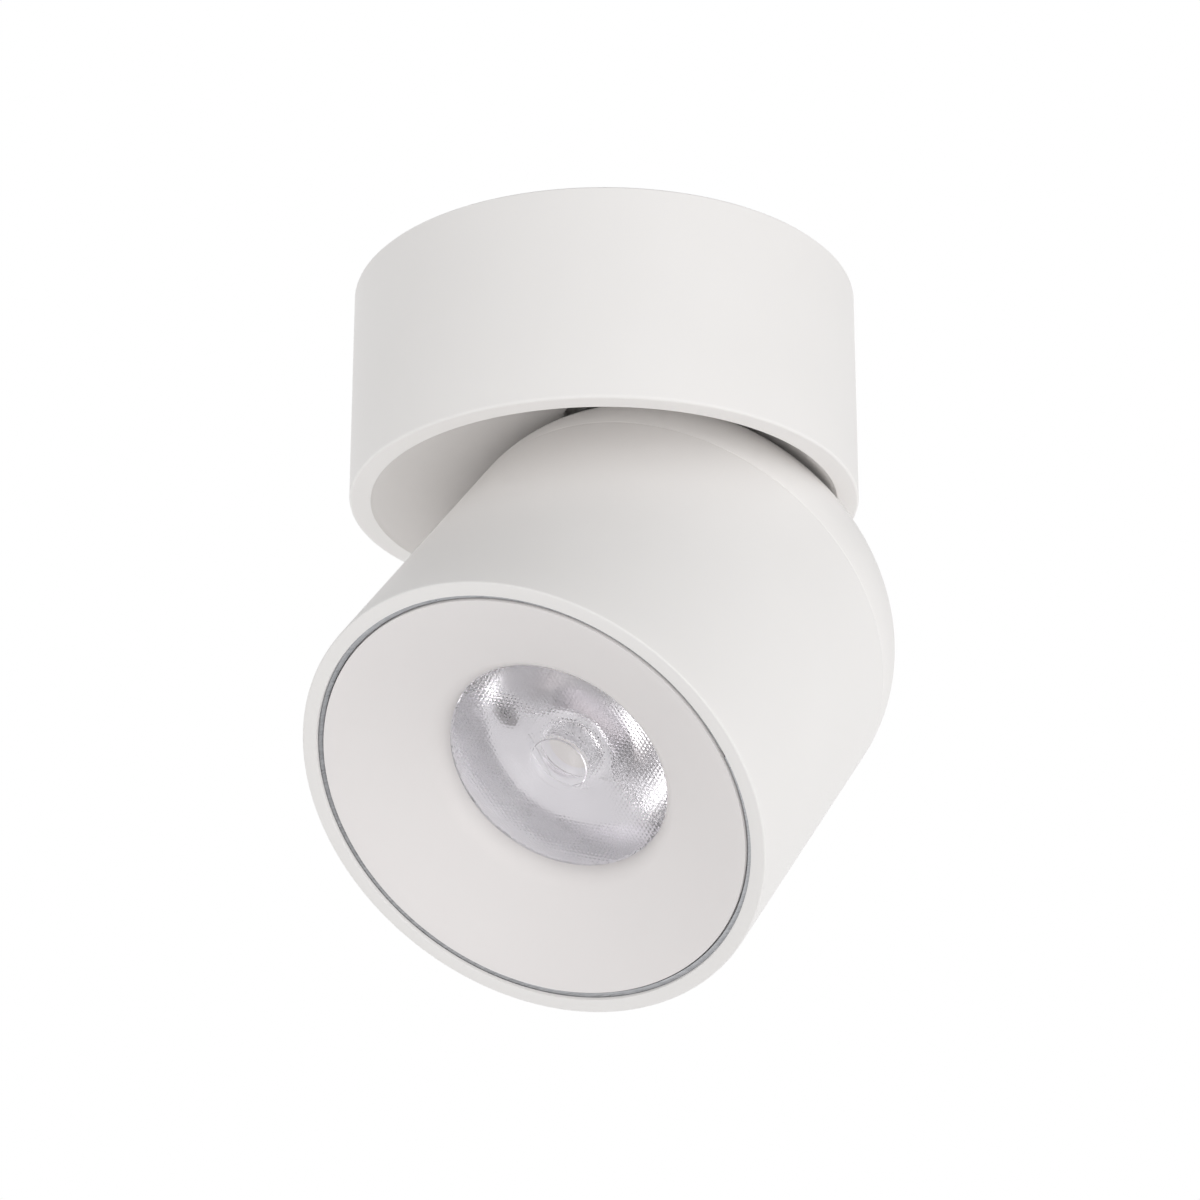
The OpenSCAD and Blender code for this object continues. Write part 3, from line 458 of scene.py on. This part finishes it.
def turned(about, centre, matrix=None):
    """Matrix that turns a piece by an angle in degrees about Z, after moving it out to a radius."""
    move = Matrix.Rotation(math.radians(about), 4, "Z") @ Matrix.Translation(centre)
    return move @ matrix if matrix else move


def ball(r, start, end, steps):
    """Points on a sphere about the pivot, by angle from straight up, in the plane of a profile."""
    turns = np.radians(np.linspace(start, end, steps + 1))
    return [(r * math.sin(a), PIVOT_Z + r * math.cos(a)) for a in turns]


# Canopy

def make_canopy():
    """Canopy: side wall, domed web whose underside is the bowl, hub, posts and screw holes."""
    web_r = BOWL_R + WEB_T
    hub_r = CARRIER_SCREW_R + CARRIER_POST_R + HUB_MARGIN
    hub_z = PIVOT_Z + BOWL_R + HUB_T
    carrier_z = hub_z + FLANGE_GAP + FLANGE_T + DISC_T
    cavity_r = CANOPY_R - WALL
    hole_r = NECK_R + NECK_GAP
    bowl = ball(BOWL_R, math.degrees(math.asin(hole_r / BOWL_R)),
                math.degrees(math.asin(MOUTH_R / BOWL_R)), 40)
    web = ball(web_r, math.degrees(math.asin(cavity_r / web_r)),
               math.degrees(math.asin(hub_r / web_r)), 24)
    outer = [(CANOPY_R - RIM_ROUND, -CANOPY_H)] + arc(
        CANOPY_R - RIM_ROUND, -CANOPY_H + RIM_ROUND, RIM_ROUND, -90, 0, 8)[1:]
    x, z = bowl[-1]
    mouth = [(x - 0.03, z + 0.16), (x + 0.02, z + 0.06), (x + 0.12, z)]
    profile = (bowl[:-1] + mouth + outer
               + [(CANOPY_R, h) for h in (-30, -12, -3, -EDGE)]
               + [(CANOPY_R - EDGE, 0), (cavity_r + EDGE, 0)]
               + [(cavity_r, h) for h in (-EDGE, -3, -12, -30)]
               + web
               + [(hub_r, hub_z - EDGE), (hub_r - EDGE, hub_z), (hole_r + EDGE, hub_z),
                  (hole_r, hub_z - EDGE)])
    shell = as_object("canopy_shell", lathe(profile, SEGMENTS))
    driver_z = PIVOT_Z + math.sqrt(web_r ** 2 - DRIVER_NEAR_Y ** 2) + DRIVER_GAP
    for side in (-1, 1):
        spot = Matrix.Translation((side * DRIVER_POST_X, DRIVER_POST_Y, 0))
        post = prism(round_outline(DRIVER_POST_R), -CANOPY_H, driver_z, spot)
        # The post's foot follows the middle of the web, so it doesn't show in the bowl
        for v in post.verts:
            if v.co.z < driver_z - 1:
                v.co.z = PIVOT_Z + math.sqrt((BOWL_R + WEB_T / 2) ** 2 - v.co.xy.length_squared)
        carve(shell, post, "UNION")
        hole_z = driver_z - DRIVER_HOLE_DEPTH
        carve(shell, prism(round_outline(M3_HOLE_R, 24), hole_z, driver_z + 1, spot))
    for about in CARRIER_TURNS:
        spot = turned(about, (CARRIER_SCREW_R, 0, 0))
        carve(shell, prism(round_outline(CARRIER_POST_R), hub_z - 1, carrier_z, spot), "UNION")
        carve(shell, prism(round_outline(CARRIER_HOLE_R, 24), hub_z - HUB_T / 2, carrier_z + 1, spot))
    for about in SIDE_SCREW_TURNS:
        spot = turned(about, (0, 0, SIDE_SCREW_Z), SIDEWAYS)
        carve(shell, prism(round_outline(SIDE_SCREW_HOLE_R, 32), cavity_r - 1, CANOPY_R + 1, spot))
    place(shell, "canopy", "white_powder_coat", WORLD_FRAME, ["canopy_housing"])


def make_set_screws():
    """The two socket set screws in the canopy's side wall, with chamfered ends."""
    r, start, end = SIDE_SCREW_R, 43.6, 49.6
    profile = [(0, start), (r - 0.4, start), (r, start + 0.4), (r, end - EDGE), (r - 0.25, end), (0, end)]
    for i, about in enumerate(SIDE_SCREW_TURNS):
        screw = as_object(f"side_set_screw_{i + 1}", lathe(profile, 48))
        carve(screw, prism(round_outline(SOCKET_R, 6), end - SOCKET_DEPTH, end + 0.4))
        place(screw, "canopy", "zinc_steel", turned(about, (0, 0, SIDE_SCREW_Z), SIDEWAYS),
              ["canopy_screws"])


# Head

def make_tube():
    """Head tube, with the ledges for the heat sink and the baffle and the snap ring's groove."""
    ledge_r, front_round, groove = BORE_R - LEDGE, 0.4, BORE_R + 0.7
    foot_z = BAFFLE_FOOT_Z
    profile = ([(BORE_R, FRONT_Z + 0.25), (BORE_R + 0.08, FRONT_Z + 0.07), (BORE_R + 0.25, FRONT_Z)]
               + arc(HEAD_R - front_round, FRONT_Z + front_round, front_round, -90, 0, 8)
               + [(HEAD_R, h) for h in (-30, -10, 10, 25)]
               + [(HEAD_R, SEAM_Z - 0.02), (HEAD_R - 0.02, SEAM_Z)]
               + [(BORE_R + EDGE, SEAM_Z), (BORE_R, SEAM_Z - EDGE)]
               + [(BORE_R, SINK_Z), (ledge_r, SINK_Z), (ledge_r, SINK_Z - LEDGE_T),
                  (BORE_R, SINK_Z - LEDGE_T)]
               + [(BORE_R, foot_z + LEDGE_T), (ledge_r, foot_z + LEDGE_T), (ledge_r, foot_z),
                  (BORE_R, foot_z)]
               + [(BORE_R, RING_Z + RING_SEAT), (groove, RING_Z + RING_SEAT), (groove, RING_Z - 0.1),
                  (BORE_R, RING_Z - 0.1)])
    tube = as_object("head_tube", lathe(profile, SEGMENTS))
    place(tube, "head", "white_powder_coat", HEAD_FRAME, ["head_housing"])


def arm_slot_cutter():
    """Body that sweeps the arm's width from straight up to the tilt's end."""
    half, reach = ARM_HALF + 0.5, 2 * HEAD_R

    def turned_out(about, offset):
        sine, cosine = math.sin(math.radians(about)), math.cos(math.radians(about))
        return (-reach * sine + offset * cosine, reach * cosine + offset * sine)

    outline = [(half, 0), (half, reach)]
    outline += [turned_out(about, 0) for about in (0, 12, 24, 36)]
    outline += [turned_out(TILT_MAX, half), turned_out(TILT_MAX, -half)]
    last = math.radians(TILT_MAX)
    outline += [(-half * math.cos(last), -half * math.sin(last))]
    along_x = Matrix(((0, 0, 1, 0), (1, 0, 0, 0), (0, 1, 0, 0), (0, 0, 0, 1)))
    return prism(outline, -ARM_SLOT_W / 2, ARM_SLOT_W / 2, along_x)


def make_rear_cap():
    """Rear cap with its round, spigot, screw pillars and the slot that the arm swings in."""
    inner_r, inner_round = HEAD_R - CAP_WALL, CAP_ROUND - CAP_WALL
    seam = SEAM_Z + 0.03
    spigot_out, spigot_in, foot = BORE_R - 0.1, BORE_R - CAP_SPIGOT_WALL, SEAM_Z - CAP_SPIGOT_H
    pillar_foot, overcut = SINK_Z + SINK_BASE_T + RUN_GAP, 0.55
    centre_r = HEAD_R - CAP_ROUND
    profile = ([(spigot_out, seam), (HEAD_R - 0.22, seam), (HEAD_R - 0.03, seam + 0.19),
                (HEAD_R, seam + 0.28)]
               + arc(centre_r, ROUND_Z, CAP_ROUND, 0, 90, 40)
               + [(20, REAR_Z), (12, REAR_Z), (0, REAR_Z), (0, REAR_Z - CAP_WALL)]
               + [(12, REAR_Z - CAP_WALL)]
               + arc(centre_r, ROUND_Z, inner_round, 90, 0, 24)
               + [(inner_r, SEAM_Z + 1), (spigot_in, SEAM_Z + 1), (spigot_in, foot + EDGE),
                  (spigot_in + EDGE, foot), (spigot_out - EDGE, foot), (spigot_out, foot + EDGE)])
    cap = as_object("rear_dome", lathe(profile, SEGMENTS))
    for about in CAP_TURNS:
        spot = turned(about, (CAP_SCREW_R, 0, 0))
        pillar = prism(round_outline(CAP_PILLAR_R, 40), pillar_foot, ROUND_Z, spot)
        for v in pillar.verts:
            if v.co.z > 0:
                r = math.hypot(v.co.x, v.co.y)
                v.co.z = ROUND_Z + math.sqrt((CAP_ROUND - CAP_WALL / 2) ** 2 - (r - centre_r) ** 2)
        carve(cap, pillar, "UNION")
        hole = prism(round_outline(M3_HOLE_R, 24), pillar_foot - overcut, CAP_HOLE_TOP, spot)
        carve(cap, hole)
    carve(cap, arm_slot_cutter())
    place(cap, "head", "white_powder_coat", HEAD_FRAME, ["rear_cap"])


def make_baffle():
    """Baffle: shallow cone, lip rolled round the lens, skirt and locating flange."""
    front, lip_x = FRONT_Z + 0.5, APERTURE_R + LIP_R
    dx, dz = BAFFLE_R - lip_x, front - APERTURE_Z
    turn = math.degrees(math.atan2(dz, dx) - math.acos(LIP_R / math.hypot(dx, dz)))
    slope = math.radians(turn)
    skirt_r = BAFFLE_R - BAFFLE_T
    join_z = front - BAFFLE_T / math.sin(slope) + BAFFLE_T / math.tan(slope)
    foot, throat = BAFFLE_FOOT_Z, LENS_Z - 0.1
    flange_r, flange_z = BORE_R - 0.15, RING_Z + RING_SEAT
    start = (lip_x + LIP_R * math.cos(slope), APERTURE_Z + LIP_R * math.sin(slope))
    cone = [(BAFFLE_R + (start[0] - BAFFLE_R) * t, front + (start[1] - front) * t)
            for t in (0.02, 0.15, 0.4, 0.7, 0.95)]
    profile = ([(BAFFLE_R, front + 0.35), (BAFFLE_R - 0.1, front + 0.1)] + cone
               + arc(lip_x, APERTURE_Z, LIP_R, turn, -180, 32)
               + [(APERTURE_R, throat), (APERTURE_R + BAFFLE_T, throat)]
               + arc(lip_x, APERTURE_Z, LIP_R - BAFFLE_T, -180, turn, 16)
               + [(skirt_r, join_z), (skirt_r, foot), (flange_r, foot), (flange_r, flange_z),
                  (BAFFLE_R, flange_z)])
    baffle = as_object("baffle_cone", lathe(profile, SEGMENTS))
    place(baffle, "head", "white_baffle", HEAD_FRAME, ["baffle"])


def honeycomb(inner, outer):
    """Middles, shoulders and corners of small hexagons between two radii."""
    row, corner, shoulder = BEAD_PITCH * math.sqrt(3) / 2, BEAD_PITCH / math.sqrt(3), BEAD_PITCH / 4
    turn = math.radians(BEAD_TURN)
    count = int(outer / row) + 2
    found = ([], [], [])

    def add(kind, x, y):
        if inner < math.hypot(x, y) < outer:
            found[kind].append((x * math.cos(turn) - y * math.sin(turn),
                                x * math.sin(turn) + y * math.cos(turn)))

    for j in range(-count, count + 1):
        for i in range(-count - 1, count + 2):
            x, y = (i + 0.5 * (j % 2)) * BEAD_PITCH, j * row
            add(0, x, y)
            for k in range(6):
                about = math.radians(60 * k)
                add(1, x + shoulder * math.cos(about), y + shoulder * math.sin(about))
            add(2, x, y - corner)
            add(2, x, y + corner)
    return found


def add_beads(mesh, inner, outer, segments):
    """Fills the ring between two circles of the lens's face with beads."""
    middles, shoulders, corners = honeycomb(inner + 0.12, outer - 0.12)
    turns = [2 * math.pi * i / segments for i in range(segments)]
    rims = [(r * math.cos(a), r * math.sin(a)) for r in (inner, outer) for a in turns]
    edges = [(k * segments + i, k * segments + (i + 1) % segments)
             for k in (0, 1) for i in range(segments)]
    points = [Vector(p) for p in rims + middles + shoulders + corners]
    heights = ([0.0] * len(rims) + [BEAD_H] * len(middles) + [0.75 * BEAD_H] * len(shoulders)
               + [0.0] * len(corners))
    flat, _, faces, origin, _, _ = delaunay_2d_cdt(points, edges, [], 1, 1e-5)
    lift = [max((heights[k] for k in old), default=0.0) for old in origin]
    verts = [mesh.verts.new((p.x, p.y, LENS_Z - h)) for p, h in zip(flat, lift)]
    for face in faces:
        middle = sum((flat[k] for k in face), Vector((0, 0))) / len(face)
        if middle.length > inner * 0.998:
            mesh.faces.new([verts[k] for k in face])
    bmesh.ops.remove_doubles(mesh, verts=mesh.verts, dist=0.002)


def make_lens():
    """Collimator: flange, flared body, well with a convex end, smooth disc and beaded face."""
    height = LENS_BACK_Z - LENS_Z
    flange_z, bead_r = LENS_Z + LENS_FLANGE_T, LENS_BODY_R + 0.1
    side = [(LENS_FOOT_R + (LENS_BODY_R - LENS_FOOT_R) * t ** 0.95,
             LENS_BACK_Z - (LENS_BACK_Z - flange_z) * t) for t in np.linspace(1, 0, 25)]
    well_z = LENS_BACK_Z - 0.45 * height
    ball_r = (WELL_TOP_R ** 2 + WELL_BULGE ** 2) / (2 * WELL_BULGE)
    half = math.degrees(math.asin(WELL_TOP_R / ball_r))
    profile = ([(0, LENS_Z - 0.2), (LENS_DISC_R - 0.15, LENS_Z - 0.2),
                (LENS_DISC_R, LENS_Z - 0.08), (LENS_DISC_R, LENS_Z), (bead_r, LENS_Z),
                (LENS_R - 0.1, LENS_Z), (LENS_R, LENS_Z + 0.1), (LENS_R, flange_z)]
               + side + [(WELL_R, LENS_BACK_Z)]
               + arc(0, well_z + WELL_BULGE - ball_r, ball_r, 90 - half, 90, 16))
    mesh = lathe([(0.0 if r < TINY else r, z) for r, z in profile], SEGMENTS)
    ring = [f for f in mesh.faces if all(abs(v.co.z - LENS_Z) < TINY for v in f.verts)
            and LENS_DISC_R < f.calc_center_median().xy.length < bead_r]
    bmesh.ops.delete(mesh, geom=ring, context="FACES_ONLY")
    add_beads(mesh, LENS_DISC_R, bead_r, SEGMENTS)
    bmesh.ops.recalc_face_normals(mesh, faces=mesh.faces)
    lens = as_object("collimator_lens", mesh)
    place(lens, "head", "clear_lens", HEAD_FRAME, ["lens"])


def make_snap_ring():
    """Split ring with rounded edges, seated in the tube's groove."""
    out_r, in_r, front, back = BORE_R + 0.6, BAFFLE_R + 0.2, RING_Z, RING_Z + 1.2
    outline = soften([(in_r, front), (out_r, front), (out_r, back), (in_r, back)], 0.18, 3)
    half = math.degrees(0.75 / in_r)
    steps = 240
    turns = np.radians(np.linspace(half, 360 - half, steps + 1))
    mesh = bmesh.new()
    rings = [[mesh.verts.new((r * math.cos(a), r * math.sin(a), z)) for r, z in outline] for a in turns]
    count = len(outline)
    for low, high in zip(rings, rings[1:]):
        for k in range(count):
            n = (k + 1) % count
            mesh.faces.new((low[k], low[n], high[n], high[k]))
    mesh.faces.new(rings[0])
    mesh.faces.new(rings[-1])
    bmesh.ops.recalc_face_normals(mesh, faces=mesh.faces)
    ring = as_object("snap_ring_wire", mesh)
    place(ring, "head", "spring_steel", HEAD_FRAME, ["snap_ring"])


make_canopy()
make_set_screws()
make_tube()
make_rear_cap()
make_baffle()
make_lens()
make_snap_ring()

# Every node gets its slot's finish; those that no piece replaces show it
slot_of = {s["node"]: s["material_slot"] for s in frame["record"]["subparts"]}
for node, obj in frame["nodes"].items():
    obj.data.materials.clear()
    obj.data.materials.append(SLOTS[slot_of[node]])

# Floor, camera and lights; the world's own white is the backdrop
FLOOR_HALF, FLOOR_Z = 1.6, -2.4
SOFT_LEVEL, LENS_LEVEL = 0.15, 0.8
floor_mesh = bmesh.new()
bmesh.ops.create_grid(floor_mesh, x_segments=1, y_segments=1, size=FLOOR_HALF)
bmesh.ops.translate(floor_mesh, verts=floor_mesh.verts, vec=(0, 0, FLOOR_Z))
floor = as_object("floor", floor_mesh)
floor_mat, _, floor_shader, _ = new_material("floor")
floor_shader.inputs["Base Color"].default_value = (0.92, 0.92, 0.92, 1)
floor_shader.inputs["Roughness"].default_value = 0.9
floor.data.materials.append(floor_mat)

add_camera()
add_world(SOFT_LEVEL, SOFT_LIGHTS, LENS_LEVEL, LENS_LIGHTS)
add_area("key", spot=(1.1, -0.9, -0.5), target=(0, 0, -0.07), size=(1.0, 1.0), power=1.0)
